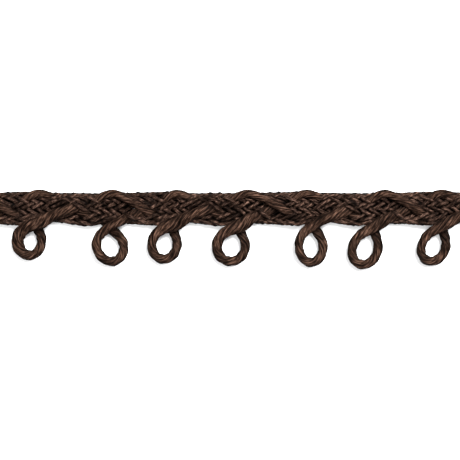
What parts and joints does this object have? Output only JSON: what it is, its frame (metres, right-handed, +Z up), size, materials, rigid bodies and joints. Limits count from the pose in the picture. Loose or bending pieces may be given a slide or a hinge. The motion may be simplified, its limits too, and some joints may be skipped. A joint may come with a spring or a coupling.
{
  "type": "picot braid trim",
  "caption": "Straight cut length of flat plaited trim with a plain edge and an edge of round corded picot loops, for edging cloth.",
  "frame": {"origin": "on the surface that the trim lies on, under the middle of its outline; the middle line of the plaited ground runs 4.5 mm to the +Y side of it", "axes": "+X along the trim, +Y towards the straight edge with the picots towards -Y, +Z up out of the face"},
  "size_m": [0.096, 0.016, 0.0033],
  "materials": {
    "ground_yarn": "dark brown soft filament yarn, slightly lustrous, plaited close",
    "picot_yarn": "dark brown soft twisted cord of the same yarn, slightly lustrous"
  },
  "bodies": {
    "root": {"ground_braid": "ground_yarn", "picot_cord_a": "picot_yarn", "picot_cord_b": "picot_yarn"}
  },
  "joints": []
}
